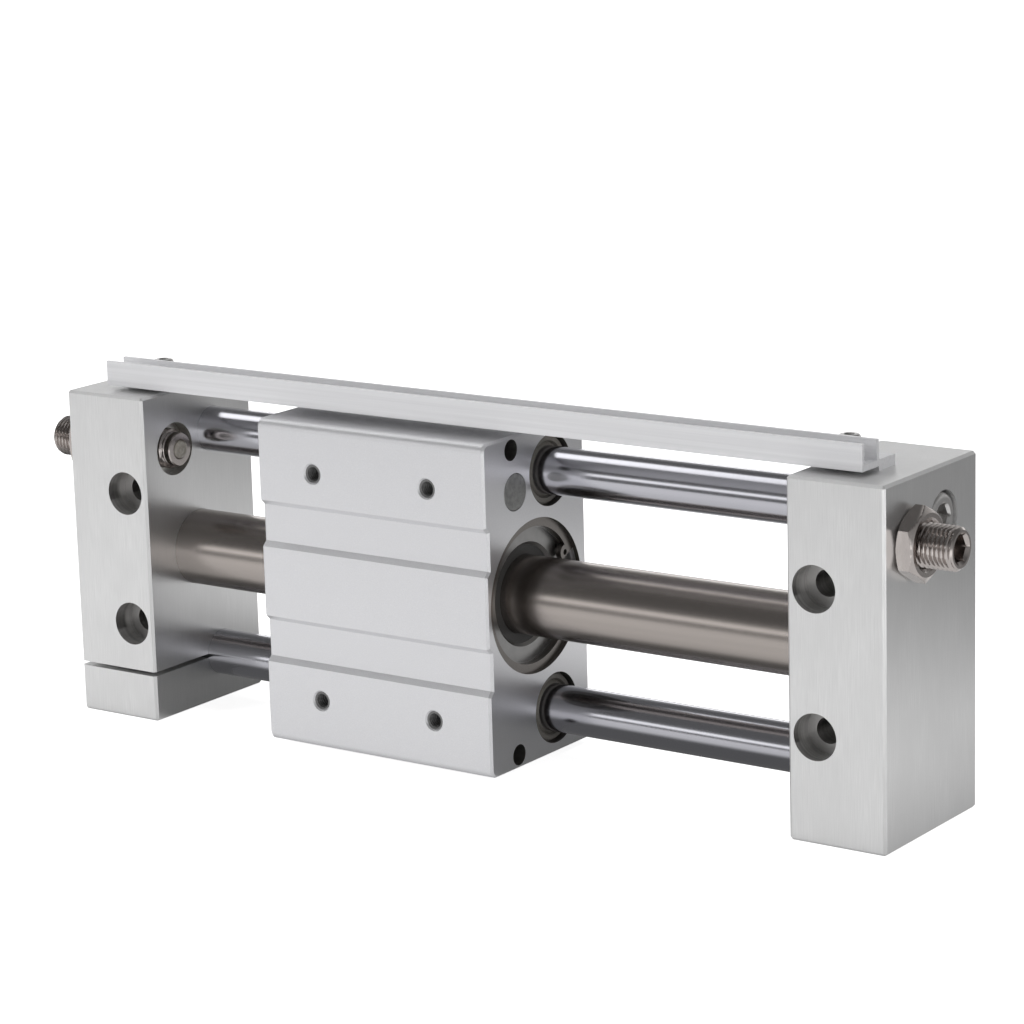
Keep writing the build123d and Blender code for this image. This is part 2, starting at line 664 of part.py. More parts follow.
with BuildPart() as piston_shaft:
    disc(carriage_rest - shaft_reach, carriage_rest + shaft_reach, shaft_diameter / 2, tube_y, tube_z)
    chamfer(edges().filter_by(GeomType.CIRCLE), shaft_past_nut)
save(piston_shaft, "piston_shaft")

piston_starts = ((carriage_rest - stack_length / 2, -1), (carriage_rest + stack_length / 2, 1))

with BuildPart() as pistons:
    for start, way in piston_starts:
        end = start + way * piston_length
        ring(start, end, piston_diameter / 2, shaft_diameter / 2 + running_fit, tube_y, tube_z)
        for inset, thick, groove in ((piston_seal_inset, piston_seal_thick, piston_seal_groove),
                                     (piston_wear_inset, piston_wear_thick, piston_wear_groove)):
            floor = piston_diameter / 2 - groove
            ring(start + way * inset, start + way * (inset + thick), piston_diameter, floor,
                 tube_y, tube_z, Mode.SUBTRACT)
save(pistons, "pistons")

for label, inset, thick, groove in (
        ("piston_seals", piston_seal_inset, piston_seal_thick, piston_seal_groove),
        ("piston_wear_rings", piston_wear_inset, piston_wear_thick, piston_wear_groove)):
    with BuildPart() as packing:
        for start, way in piston_starts:
            ring(start + way * (inset + seat_fit), start + way * (inset + thick - seat_fit),
                 tube_bore / 2 - running_fit, piston_diameter / 2 - groove + seat_fit, tube_y, tube_z)
    save(packing, label)

with BuildPart() as piston_nuts:
    for start, way in piston_starts:
        seat = start + way * piston_length
        hexagon(seat, seat + way * piston_nut_thick, piston_nut_flats, tube_y, tube_z)
        disc(seat, seat + way * piston_nut_thick, shaft_diameter / 2 + screw_fit, tube_y, tube_z, Mode.SUBTRACT)
save(piston_nuts, "piston_nuts")

with BuildPart() as piston_bumpers:
    for start, way in piston_starts:
        seat = start + way * piston_length
        height = piston_nut_thick + shaft_past_nut + piston_bumper_proud
        ring(seat, seat + way * height, piston_bumper_outside / 2, piston_bumper_bore / 2, tube_y, tube_z)
save(piston_bumpers, "piston_bumpers")
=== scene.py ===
"""Finishes, threads and fine parts of a guided magnetic rodless cylinder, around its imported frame."""

import json
from collections import namedtuple
from math import cos, pi, radians, sin, tan

import bpy
import numpy as np
from bpy.props import FloatProperty, FloatVectorProperty, IntProperty, PointerProperty
from mathutils import Matrix, Vector


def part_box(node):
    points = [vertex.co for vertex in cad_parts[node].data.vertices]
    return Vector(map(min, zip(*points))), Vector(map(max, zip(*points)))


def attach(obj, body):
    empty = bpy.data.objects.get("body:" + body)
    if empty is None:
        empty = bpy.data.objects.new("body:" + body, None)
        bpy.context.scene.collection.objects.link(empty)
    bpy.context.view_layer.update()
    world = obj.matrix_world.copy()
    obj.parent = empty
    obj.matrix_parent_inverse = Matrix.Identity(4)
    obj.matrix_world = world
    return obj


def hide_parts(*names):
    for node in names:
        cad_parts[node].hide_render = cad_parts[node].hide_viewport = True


bl_info = {
    "name": "Guided rodless cylinder",
    "version": (1, 0, 0),
    "blender": (4, 5, 0),
    "location": "3D View > Sidebar > Rodless cylinder",
    "description": "Dresses the packed frame of a guided rodless cylinder with threads and finishes",
    "category": "Object",
}

MM = 0.001
UPRIGHT = (Vector((0, 0, 1)), Vector((1, 0, 0)))
DOWNWARD = (Vector((0, 0, -1)), Vector((1, 0, 0)))
INWARD = (Vector((0, 1, 0)), Vector((1, 0, 0)))
# Radius of a hexagon's corners over that of its flats, and the least step between two surfaces.
HEXAGON_CORNER = 1 / cos(pi / 6)
HAIRLINE = 0.02 * MM

SocketHead = namedtuple("SocketHead", "head_height shank socket socket_depth pitch")
M4 = SocketHead(4 * MM, 3.9 * MM, 3 * MM, 2 * MM, 0.7 * MM)
M6 = SocketHead(6 * MM, 5.9 * MM, 5 * MM, 3 * MM, 1.0 * MM)
M10 = SocketHead(10 * MM, 9.9 * MM, 8 * MM, 5 * MM, 1.5 * MM)
SIDES = ((-1, "left"), (1, "right"))

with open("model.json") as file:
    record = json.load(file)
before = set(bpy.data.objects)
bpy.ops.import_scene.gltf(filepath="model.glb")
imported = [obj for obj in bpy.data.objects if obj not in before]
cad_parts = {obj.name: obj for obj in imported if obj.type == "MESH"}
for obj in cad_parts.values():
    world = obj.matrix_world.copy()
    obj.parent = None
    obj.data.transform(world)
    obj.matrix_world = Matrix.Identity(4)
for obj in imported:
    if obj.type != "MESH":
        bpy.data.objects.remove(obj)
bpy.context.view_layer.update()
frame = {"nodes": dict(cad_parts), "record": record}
mounts = {mount["name"]: mount for mount in frame["record"]["mounts"]}


def middle(node):
    """Middle of a node's box, as a vector in metres."""
    low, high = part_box(node)
    return (Vector(low) + Vector(high)) / 2


def span(node):
    """Size of a node's box, as a vector in metres."""
    low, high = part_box(node)
    return Vector(high) - Vector(low)


def end_face(node, side):
    """Middle of the box's face at its low X (side -1) or at its high X (side 1)."""
    low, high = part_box(node)
    return Vector(((high if side > 0 else low)[0], (low[1] + high[1]) / 2, (low[2] + high[2]) / 2))


def table_centre():
    """Middle of the carriage's table face."""
    centre = middle("carriage_block")
    centre.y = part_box("carriage_block")[0][1]
    return centre


def along_x(side, start=(0, 1, 0)):
    """Directions of a turned piece that points to -X or +X: its axis, and where its angle starts."""
    return Vector((side, 0, 0)), Vector(start)


def half_pattern(mount):
    """Half of a rectangular hole pattern's two spacings, along X and Z."""
    return mount["dims"]["spacing_x_mm"] * MM / 2, mount["dims"]["spacing_y_mm"] * MM / 2


def length_field(name, description, default):
    """Property for a length in metres."""
    return FloatProperty(
        name=name, description=description, default=default, subtype="DISTANCE", unit="LENGTH")


def angle_field(name, description, degrees):
    """Property for an angle, given in degrees."""
    return FloatProperty(name=name, description=description, default=radians(degrees), subtype="ANGLE")


def power_field(name, description, default):
    """Property for a lamp's power in watts."""
    return FloatProperty(name=name, description=description, default=default, unit="POWER")


def brightness_field(name, description, default):
    """Property for the strength of a light that fills a direction or an area."""
    return FloatProperty(name=name, description=description, default=default)


def colour_field(name, description, default):
    """Property for a colour, as linear red, green and blue."""
    return FloatVectorProperty(
        name=name, description=description, default=default, size=3, subtype="COLOR")


class ThreadSizes(bpy.types.PropertyGroup):
    """Pitches of the threads that show, and how finely they are drawn."""

    bolt_pitch: length_field("Bolt pitch", "Pitch of the adjusting bolts", 1.5 * MM)
    table_pitch: length_field("Table thread pitch", "Pitch of the tapped holes in the carriage", 1.0 * MM)
    port_pitch: length_field("Port pitch", "Pitch of the air ports", 0.907 * MM)
    rows_per_turn: IntProperty(
        name="Rows per turn", description="Points along one pitch of a thread", default=8, min=4, max=24)


class ScrewSizes(bpy.types.PropertyGroup):
    """Details of the screws, nuts and bumpers."""

    bolt_socket: length_field("Bolt socket", "Hexagon socket of the bolts, across flats", 8.0 * MM)
    bolt_socket_depth: length_field("Bolt socket depth", "Depth of that socket", 8.0 * MM)
    bolt_mouth: length_field("Bolt mouth", "Countersink at that socket's corners", 0.45 * MM)
    bolt_point: length_field("Bolt point", "Length of the plain turned end inside", 2.4 * MM)
    bolt_chamfer: length_field("Bolt chamfer", "How far the bolt's ends are turned down", 1.1 * MM)
    bumper_edge: length_field("Bumper edge", "Rounding at the edge of a bumper's face", 0.6 * MM)
    bumper_dome: length_field("Bumper dome", "How far the middle of that face stands out", 0.12 * MM)
    bumper_ring: length_field("Bumper ring", "Depth of the shallow ring in that face", 0.16 * MM)
    nut_cone: length_field("Nut cone", "How far inside the flats a lock nut's turned cone starts", 0.7 * MM)
    nut_mouth: length_field("Nut mouth", "Width of the countersink at a lock nut's thread", 1.6 * MM)
    knurl_ridges: IntProperty(
        name="Knurl ridges", description="Ridges round a screw's head", default=32, min=12, max=80)
    knurl_depth: length_field("Knurl depth", "Depth of the knurling", 0.18 * MM)


class StudioSizes(bpy.types.PropertyGroup):
    """The camera's place and the studio's light."""

    camera_place: FloatVectorProperty(
        name="Camera place", description="Where the camera stands", size=3,
        default=(0.6587, -0.9116, 0.3437), subtype="TRANSLATION", unit="LENGTH")
    azimuth: angle_field("Azimuth", "Camera's angle round the object from the front, towards +X", 35.59)
    elevation: angle_field("Elevation", "Camera's angle above the horizon", 13.03)
    roll: angle_field("Roll", "Camera's turn about its line of sight", -1.65)
    focal_length: FloatProperty(
        name="Focal length", description="Lens, in millimetres on a 36 mm sensor", default=123.1)
    key: power_field("Key", "Large soft lamp at the front left", 30.0)
    overhead: power_field("Overhead", "Soft lamp above", 12.0)
    fill: power_field("Fill", "Soft lamp on the right", 20.0)
    ambient: brightness_field("Ambient", "Even light from all round, on matt surfaces", 0.40)
    ceiling: brightness_field("Ceiling", "The dim room, as the metal shows it", 0.18)
    back_wall: brightness_field("Back wall", "The wall behind, in the metal", 0.55)
    right_wall: brightness_field("Right wall", "The wall on the right, in the metal", 0.30)
    strip: brightness_field("Strip", "The low strip of light on the left, in the metal", 1.9)
    window: brightness_field("Window", "The high soft light at the left behind, in the metal", 2.3)
    floor_glow: brightness_field("Floor glow", "Part of the floor's white that its shadows leave", 0.86)
    floor_mirror: brightness_field("Floor in front", "The floor in front, in the metal", 0.92)
    floor_left: brightness_field("Floor at the left", "What the floor in front gains to the left", 0.10)
    floor_right: brightness_field("Floor on the right", "The floor on the right, in the metal", 0.80)
    floor_back: brightness_field("Floor behind", "The floor behind, in the metal", 0.85)
    # Painted shadow: the dim floor under and near the object, as the metal shows it, stands in for the
    # object's shadow.
    painted_floor_shadow: brightness_field("Floor under", "The floor near the object, in the metal", 0.14)
    edge_light: brightness_field("Edge light", "A patch of floor that only the broken edges show", 1.5)


class FinishColours(bpy.types.PropertyGroup):
    """Colours of the finishes that show most."""

    plate: colour_field("Plates", "Clear anodised end plates", (0.80, 0.80, 0.80))
    carriage: colour_field("Carriage", "Clear anodised carriage", (0.825, 0.825, 0.845))
    rail: colour_field("Rail", "Clear anodised switch rail", (0.77, 0.77, 0.785))
    chrome: colour_field("Rods", "Hard chromed guide rods", (0.54, 0.54, 0.58))
    tube: colour_field("Tube", "Drawn stainless tube", (0.435, 0.395, 0.37))
    nickel: colour_field("Bolts", "Nickel plated bolts and nuts", (0.52, 0.48, 0.46))


def joined(*shapes):
    """Several (points, faces) pairs as one: each shape's face numbers move up by the points before it."""
    points, faces, start = [], [], 0
    for shape_points, shape_faces in shapes:
        points.append(shape_points)
        faces.extend([[start + corner for corner in face] for face in shape_faces])
        start += len(shape_points)
    return np.concatenate(points), faces


def enclosed(points, faces):
    """Signed volume of a closed shape: the sum over fan triangles of a dot (b cross c) / 6."""
    total = 0.0
    by_size = {}
    for face in faces:
        by_size.setdefault(len(face), []).append(face)
    for size, group in by_size.items():
        corners = points[np.array(group)]
        for second in range(1, size - 1):
            a, b, c = corners[:, 0], corners[:, second], corners[:, second + 1]
            total += np.einsum("ij,ij->i", a, np.cross(b, c)).sum() / 6
    return total


def outward(points, faces):
    """The same closed shape with its faces pointing outwards."""
    if enclosed(points - points.mean(axis=0), faces) < 0:
        faces = [face[::-1] for face in faces]
    return points, faces


def turned(rows, place, directions, closed=False):
    """A profile carried round an axis.

    rows is an array (rows, columns, 2) of (distance along the axis, radius), with one column for each
    angle t. A point is place + along * distance + radius * (cos t * side + sin t * up), where up is
    along x side. A closed profile joins its last row to its first, and any other ends in a pole at
    each end, at the mean distance of its first and last rows."""
    along, side = (np.array(direction) for direction in directions)
    up = np.cross(along, side)
    count, columns = rows.shape[:2]
    angle = np.linspace(0, 2 * pi, columns, endpoint=False)
    distance, radius = rows[..., 0:1], rows[..., 1:2]
    out = np.cos(angle)[:, None] * side + np.sin(angle)[:, None] * up
    points = (np.array(place) + distance * along + radius * out).reshape(-1, 3)
    row, column = np.meshgrid(np.arange(count if closed else count - 1), np.arange(columns), indexing="ij")
    after, beside = (row + 1) % count, (column + 1) % columns
    quads = np.stack([row * columns + column, row * columns + beside,
                      after * columns + beside, after * columns + column], axis=-1)
    faces = quads.reshape(-1, 4).tolist()
    if not closed:
        poles = [np.array(place) + rows[end, :, 0].mean() * along for end in (0, -1)]
        points = np.concatenate([points, poles])
        first, last, ring = len(points) - 2, len(points) - 1, np.arange(columns)
        faces += [[first, (n + 1) % columns, n] for n in ring.tolist()]
        start = (count - 1) * columns
        faces += [[last, start + n, start + (n + 1) % columns] for n in ring.tolist()]
    return outward(points, faces)


def flat_rows(profile, columns):
    """Rows of a plain turned shape: each (distance, radius) of the profile is the same at every angle."""
    return np.repeat(np.array(profile, dtype=float)[:, None, :], columns, axis=1)


def hexagon_radius(flats, columns):
    """Radius of a hexagon's outline at each angle: half the flats / cos(angle from the flat's middle)."""
    angle = np.linspace(0, 2 * pi, columns, endpoint=False)
    return flats / 2 / np.cos(angle % (pi / 3) - pi / 6)


def hexagon_walls(flats, columns, *depths):
    """Rows of a hexagon's outline, at each of the distances along the axis."""
    outline = hexagon_radius(flats, columns)
    return np.stack([np.stack([np.full(columns, depth), outline], axis=-1) for depth in depths])


def thread_rows(start, end, outer, pitch, columns, per_turn, way=1):
    """Rows of a right-hand thread from start to end.

    The radius is outer less the thread's depth times a ramp of the phase, distance / pitch - turns,
    where the ramp is flat for an eighth of the pitch at the crest and a quarter at the root."""
    crest, root, depth = 1 / 8, 1 / 4, 0.613 * pitch
    count = max(2, int(abs(end - start) / pitch * per_turn))
    distance = np.linspace(start, end, count)[:, None]
    turns = np.linspace(0, 1, columns, endpoint=False)[None, :]
    phase = (distance / pitch - way * turns) % 1
    from_crest = np.minimum(phase, 1 - phase) * 2
    ramp = np.clip((from_crest - crest) / (1 - crest - root), 0, 1)
    radius = outer - depth * ramp
    return np.stack([np.broadcast_to(distance, radius.shape), radius], axis=-1)


FINISHES = {}


def piece(name, shape, body, slot, replaced=None, smooth=30, finish=None):
    """Make a mesh object of a shape, ride it on a body, and give it its slot's finish or another one."""
    points, faces = shape
    mesh = bpy.data.meshes.new(name)
    mesh.from_pydata(np.asarray(points).tolist(), [], faces)
    mesh.shade_smooth()
    mesh.set_sharp_from_angle(angle=radians(smooth))
    mesh.materials.append(FINISHES[finish or slot])
    made = bpy.data.objects.new(name, mesh)
    bpy.context.scene.collection.objects.link(made)
    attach(made, body)
    if replaced:
        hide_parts(replaced)


class Tree:
    """The nodes of a material or a world in the making, with small sums made of nodes."""

    def __init__(self, owner):
        owner.use_nodes = True
        self.nodes, self.links = owner.node_tree.nodes, owner.node_tree.links

    def new(self, kind, **settings):
        """A new shader node with its settings."""
        made = self.nodes.new(f"ShaderNode{kind}")
        for key, value in settings.items():
            setattr(made, key, value)
        return made

    def feed(self, socket, source):
        """Link another node's output to a socket, or set the socket to a plain value."""
        if isinstance(source, bpy.types.NodeSocket):
            self.links.new(source, socket)
        else:
            socket.default_value = source

    def math(self, operation, first, second, clamp=False):
        """One Math node of two numbers or outputs."""
        made = self.new("Math", operation=operation, use_clamp=clamp)
        self.feed(made.inputs[0], first)
        self.feed(made.inputs[1], second)
        return made.outputs[0]

    def product(self, first, *others):
        """All of them multiplied, from left to right."""
        for other in others:
            first = self.math("MULTIPLY", first, other)
        return first

    def ramp(self, value, zero, one):
        """0 where the value is at or past zero, 1 where it is at or past one, and straight between."""
        slope = 1 / (one - zero)
        return self.math("ADD", self.math("MULTIPLY", value, slope), -zero * slope, True)

    def window(self, value, start, end, soft):
        """1 between start and end, and 0 outside, with soft edges."""
        return self.product(self.ramp(value, start - soft, start), self.ramp(value, end + soft, end))

    def fade(self, value, zero, one, least):
        """A ramp that goes from a least value to 1."""
        return self.math("ADD", self.math("MULTIPLY", self.ramp(value, zero, one), 1 - least), least)

    def choose(self, condition, other, value):
        """The value where the condition is 1, and the other where it is 0."""
        mix = self.new("Mix")
        for socket, source in ((0, condition), (2, other), (3, value)):
            self.feed(mix.inputs[socket], source)
        return mix.outputs[0]


class Finish(Tree):
    """A material in the making, kept in FINISHES: its shader, and patterns on Object coordinates."""

    # What a noise mostly stays between, how much a polished face looks along X, and its relief's strength.
    USUAL_NOISE = (0.3, 0.7)
    FACES_ACROSS = 0.9
    POLISHED_RELIEF = 0.3

    def __init__(self, name, colour, metallic, roughness):
        FINISHES[name] = bpy.data.materials.new(name)
        super().__init__(FINISHES[name])
        self.shader = self.nodes["Principled BSDF"]
        self.shader.inputs["Base Color"].default_value = (*colour, 1)
        self.shader.inputs["Metallic"].default_value = metallic
        self.shader.inputs["Roughness"].default_value = roughness
        self.colour, self.roughness = colour, roughness
        self.place = self.new("TexCoord").outputs["Object"]
        self.normal = self.tint = None
        self.bumps = []

    def vector(self, operation, first, second=None):
        """One Vector Math node, with a plain vector as its second input."""
        made = self.new("VectorMath", operation=operation)
        self.links.new(first, made.inputs[0])
        if second is not None:
            made.inputs[1].default_value = second
        return made.outputs["Value" if operation == "LENGTH" else "Vector"]

    def noise(self, scale, stretch=(1, 1, 1), detail=2.0):
        """Noise with so many cells a metre along each axis: scale times that axis's stretch."""
        mapping = self.new("Mapping")
        mapping.inputs["Scale"].default_value = [scale * part for part in stretch]
        self.links.new(self.place, mapping.inputs["Vector"])
        texture = self.new("TexNoise")
        texture.inputs["Scale"].default_value = 1.0
        texture.inputs["Detail"].default_value = detail
        self.links.new(mapping.outputs["Vector"], texture.inputs["Vector"])
        return texture.outputs["Fac"]

    def rings(self, scale, centre):
        """Lathe marks: noise of the distance from an axis along X, so many marks a metre."""
        aside = self.vector("MULTIPLY", self.vector("SUBTRACT", self.place, centre), (0, 1, 1))
        texture = self.new("TexNoise", noise_dimensions="1D")
        texture.inputs["Scale"].default_value = scale
        texture.inputs["Detail"].default_value = 1.0
        self.links.new(self.vector("LENGTH", aside), texture.inputs["W"])
        return texture.outputs["Fac"]

    def spread(self, pattern, low, high):
        """The usual range of a noise, mapped to low to high."""
        mapped = self.new("MapRange")
        limits = zip(("From Min", "From Max", "To Min", "To Max"), (*self.USUAL_NOISE, low, high))
        for socket, value in limits:
            mapped.inputs[socket].default_value = value
        self.links.new(pattern, mapped.inputs["Value"])
        return mapped.outputs["Result"]

    def vary_roughness(self, pattern, amount):
        """Roughness goes up and down with the pattern."""
        varied = self.spread(pattern, self.roughness - amount, self.roughness + amount)
        self.links.new(varied, self.shader.inputs["Roughness"])

    def recolour(self, amount, other):
        """Colour goes from what it is so far to another one, as the amount goes from 0 to 1."""
        mix = self.new("Mix", data_type="RGBA")
        self.feed(mix.inputs[6], self.tint or (*self.colour, 1))
        mix.inputs[7].default_value = (*other, 1)
        self.links.new(amount, mix.inputs[0])
        self.tint = mix.outputs[2]
        self.links.new(self.tint, self.shader.inputs["Base Color"])

    def vary_colour(self, pattern, factor):
        """Colour goes from what it is so far to a shade of the first one with the pattern."""
        self.recolour(self.spread(pattern, 0, 1), [min(1.0, part * factor) for part in self.colour])

    def bores(self, centre, offset, across, radius, reach=1.0):
        """1 inside round bores, 0 elsewhere: the distance from their axis is under the radius, and the
        distance from the centre along it is under the reach.

        The place is folded at the centre, so one offset stands for all the bores that mirror it, and
        across leaves out the direction of their axes. The radius grows by a skin, to hold the walls."""
        skin = 0.03 * MM
        folded = self.vector("ABSOLUTE", self.vector("SUBTRACT", self.place, centre))
        aside = self.vector("MULTIPLY", self.vector("SUBTRACT", folded, offset), across)
        along = self.vector("MULTIPLY", folded, tuple(1 - part for part in across))
        near = self.math("LESS_THAN", self.vector("LENGTH", aside), radius + skin)
        return self.product(near, self.math("LESS_THAN", self.vector("LENGTH", along), reach))

    def turning_marks(self, inside, scale, stretch, colour):
        """Marks of another colour where inside is 1."""
        self.recolour(self.product(inside, self.spread(self.noise(scale, stretch), 0, 1)), colour)

    def bump(self, pattern, height):
        """Relief of that height in metres, added to what is there."""
        made = self.new("Bump")
        made.inputs["Distance"].default_value = height
        made.inputs["Strength"].default_value = 1.0
        self.links.new(pattern, made.inputs["Height"])
        if self.normal:
            self.links.new(self.normal, made.inputs["Normal"])
        self.normal = made.outputs["Normal"]
        self.bumps.append(made)
        self.links.new(self.normal, self.shader.inputs["Normal"])

    def polish_ends(self, roughness, metallic):
        """Milled faces across X are smoother than the others: there the shader takes these values."""
        normal = self.new("NewGeometry").outputs["True Normal"]
        facing = self.vector("LENGTH", self.vector("MULTIPLY", normal, (1, 0, 0)))
        across = self.math("GREATER_THAN", facing, self.FACES_ACROSS)
        ends = [(self.shader.inputs["Roughness"], roughness), (self.shader.inputs["Metallic"], metallic)]
        ends += [(bump.inputs["Strength"], self.POLISHED_RELIEF) for bump in self.bumps]
        for socket, end in ends:
            before = socket.links[0].from_socket if socket.is_linked else socket.default_value
            self.links.new(self.choose(across, before, end), socket)


def milled_plate(colours):
    """Clear anodised plate: fine upright grinding lines, a faint mottle, and painted shade in the drilled
    mounting holes and in the bolt's recess.
    """
    finish = Finish("plate_aluminium", tuple(colours.plate), 0.82, 0.44)
    lines = finish.noise(3400, (1, 1, 0.03))
    finish.vary_roughness(lines, 0.07)
    finish.vary_colour(finish.noise(120, (1, 1, 0.5)), 0.93)
    finish.vary_colour(lines, 0.92)
    finish.bump(lines, 0.02 * MM)
    finish.bump(finish.noise(9000), 0.004 * MM)
    counterbore, bolt_recess, back_rim = 7.5 * MM, 9.25 * MM, 0.3 * MM
    tube, bolt = middle("cylinder_tube"), middle("left_adjusting_bolt")
    low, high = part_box("left_end_plate")
    half_x, half_z = half_pattern(mounts["plate_mounting_holes"])
    holes = finish.bores(tube, (half_x, 0, half_z), (1, 0, 1), counterbore, high[1] - tube.y - back_rim)
    # Painted shade: the walls of the mounting holes are darkened where shade falls inside them; the lighter
    # turning marks below are real machining marks on that painted shade.
    finish.recolour(holes, (0.42, 0.415, 0.41))
    finish.turning_marks(holes, 900, (0.01, 1, 0.01), (0.62, 0.61, 0.60))
    # Painted shade: the bolt's recess in the plate's inner face is darkened as if in shade.
    recess_shade = finish.bores((0, bolt.y, bolt.z), ((high[0] - low[0]) / 2, 0, 0), (0, 1, 1), bolt_recess)
    finish.recolour(recess_shade, (0.60, 0.59, 0.56))
    finish.polish_ends(0.30, 0.94)


def blasted_carriage(colours):
    """Clear anodised carriage: a blasted grain, a faint mottle, and painted shade in its bores and tapped
    holes.
    """
    finish = Finish("carriage_aluminium", tuple(colours.carriage), 0.82, 0.46)
    grain = finish.noise(3600, detail=4.0)
    finish.vary_roughness(grain, 0.10)
    finish.vary_colour(grain, 0.90)
    finish.vary_colour(finish.noise(1100), 0.94)
    finish.bump(grain, 0.03 * MM)
    finish.bump(finish.noise(1500, (0.04, 1, 1)), 0.008 * MM)
    slider_bore, rod_bore, corner_hole, table_thread, table_depth = (
        size * MM for size in (26, 12, 3.5, 3.07, 20))
    tube, rod, corner = middle("cylinder_tube"), middle("upper_guide_rod"), middle("switch_magnet")
    half_x, half_z = half_pattern(mounts["table_holes"])
    # Painted shade: the slider bore, the rod bores, the corner holes and the tapped table holes are
    # recoloured darker inside as shade falls in them, the corner holes darkest.
    for centre, offset, across, radius, reach, inside in (
            (tube, (0, 0, 0), (0, 1, 1), slider_bore, 1, (0.22, 0.205, 0.19)),
            ((0, rod.y, tube.z), (0, 0, rod.z - tube.z), (0, 1, 1), rod_bore, 1, (0.20, 0.19, 0.18)),
            ((0, corner.y, tube.z), (0, 0, corner.z - tube.z), (0, 1, 1), corner_hole, 1,
             (0.13, 0.125, 0.12)),
            (table_centre(), (half_x, 0, half_z), (1, 0, 1), table_thread, table_depth,
             (0.20, 0.20, 0.20))):
        finish.recolour(finish.bores(centre, offset, across, radius, reach), inside)
    finish.polish_ends(0.30, 0.92)


def extruded_rail(colours):
    """Clear anodised extrusion: lines along its length."""
    finish = Finish("rail_aluminium", tuple(colours.rail), 0.60, 0.45)
    lines = finish.noise(2600, (0.006, 1, 1))
    finish.vary_roughness(lines, 0.08)
    finish.vary_colour(finish.noise(900, (0.01, 1, 1)), 0.92)
    finish.bump(lines, 0.02 * MM)


def hard_chrome(colours):
    """Ground and chromed rod: a mirror with very fine marks round it."""
    finish = Finish("rod_chrome", tuple(colours.chrome), 1.0, 0.18)
    marks = finish.noise(5000, (1, 0.02, 0.02))
    finish.vary_roughness(marks, 0.03)
    finish.vary_colour(finish.noise(60, (0.3, 1, 1)), 0.95)
    finish.bump(marks, 0.001 * MM)


def drawn_tube(colours):
    """Drawn stainless tube: soft lines along its length under a satin gloss."""
    finish = Finish("tube_stainless", tuple(colours.tube), 1.0, 0.26)
    lines = finish.noise(3000, (0.004, 1, 1))
    finish.vary_roughness(lines, 0.012)
    finish.vary_colour(finish.noise(400, (0.02, 1, 1)), 0.96)
    finish.bump(lines, 0.0001 * MM)


def bright_nickel(colours):
    """Nickel plate on the bolts and nuts: warm, bright and slightly uneven."""
    finish = Finish("bolt_nickel", tuple(colours.nickel), 1.0, 0.22)
    finish.vary_roughness(finish.noise(300), 0.03)
    finish.vary_colour(finish.noise(250), 0.94)
    finish.bump(finish.noise(1200), 0.0005 * MM)


def plain_metal(name, colour, roughness, scale, relief, darker=0.88):
    """Metal with an even grain: the screws, rings, yokes and magnets differ only in these values."""
    finish = Finish(name, colour, 1.0, roughness)
    grain = finish.noise(scale, detail=3.0)
    finish.vary_roughness(grain, 0.06)
    finish.vary_colour(grain, darker)
    finish.bump(grain, relief)


def lathe_turned(name, colour, roughness, centre):
    """Metal with lathe marks round an axis along X."""
    finish = Finish(name, colour, 1.0, roughness)
    marks = finish.rings(5000, centre)
    finish.vary_roughness(marks, 0.08)
    finish.vary_colour(finish.noise(300), 0.9)
    finish.bump(marks, 0.01 * MM)


def soft_material(name, colour, roughness, scale, relief, specular=0.4):
    """Rubber, urethane or resin with a fine moulded grain."""
    finish = Finish(name, colour, 0.0, roughness)
    finish.shader.inputs["Specular IOR Level"].default_value = specular
    grain = finish.noise(scale, detail=3.0)
    finish.vary_roughness(grain, 0.08)
    finish.vary_colour(grain, 1.25)
    finish.bump(grain, relief)


def make_finishes(colours):
    """Every finish by the name of its slot, and the paler rubber of the rod scrapers."""
    milled_plate(colours)
    blasted_carriage(colours)
    extruded_rail(colours)
    hard_chrome(colours)
    drawn_tube(colours)
    bright_nickel(colours)
    plain_metal("screw_steel", (0.66, 0.65, 0.64), 0.36, 1800, 0.005 * MM)
    plain_metal("ring_steel", (0.30, 0.28, 0.265), 0.38, 2600, 0.01 * MM)
    plain_metal("striker_steel", (0.36, 0.36, 0.355), 0.42, 700, 0.01 * MM, darker=0.75)
    plain_metal("yoke_iron", (0.36, 0.36, 0.37), 0.45, 1500, 0.01 * MM)
    plain_metal("magnet_nickel", (0.55, 0.54, 0.52), 0.22, 900, 0.004 * MM)
    plain_metal("bush_bronze", (0.46, 0.36, 0.24), 0.36, 2200, 0.012 * MM)
    lathe_turned("cover_aluminium", (0.40, 0.395, 0.39), 0.36, middle("cylinder_tube"))
    soft_material("seal_rubber", (0.030, 0.029, 0.028), 0.50, 1500, 0.02 * MM)
    soft_material("scraper_rubber", (0.12, 0.113, 0.102), 0.45, 1500, 0.02 * MM)
    soft_material("bumper_urethane", (0.27, 0.25, 0.22), 0.22, 900, 0.01 * MM, specular=0.6)
    soft_material("wear_resin", (0.10, 0.09, 0.08), 0.45, 1200, 0.01 * MM)


class CYLINDER_OT_finishes(bpy.types.Operator):
    """Make the finishes and give each node of the frame its own"""

    bl_idname = "cylinder.finishes"
    bl_label = "Finishes"

    def execute(self, context):
        make_finishes(context.scene.cylinder_colours)
        for entry in frame["record"]["subparts"]:
            node = frame["nodes"][entry["node"]]
            node.data.materials.clear()
            node.data.materials.append(FINISHES[entry["material_slot"]])
        return {"FINISHED"}


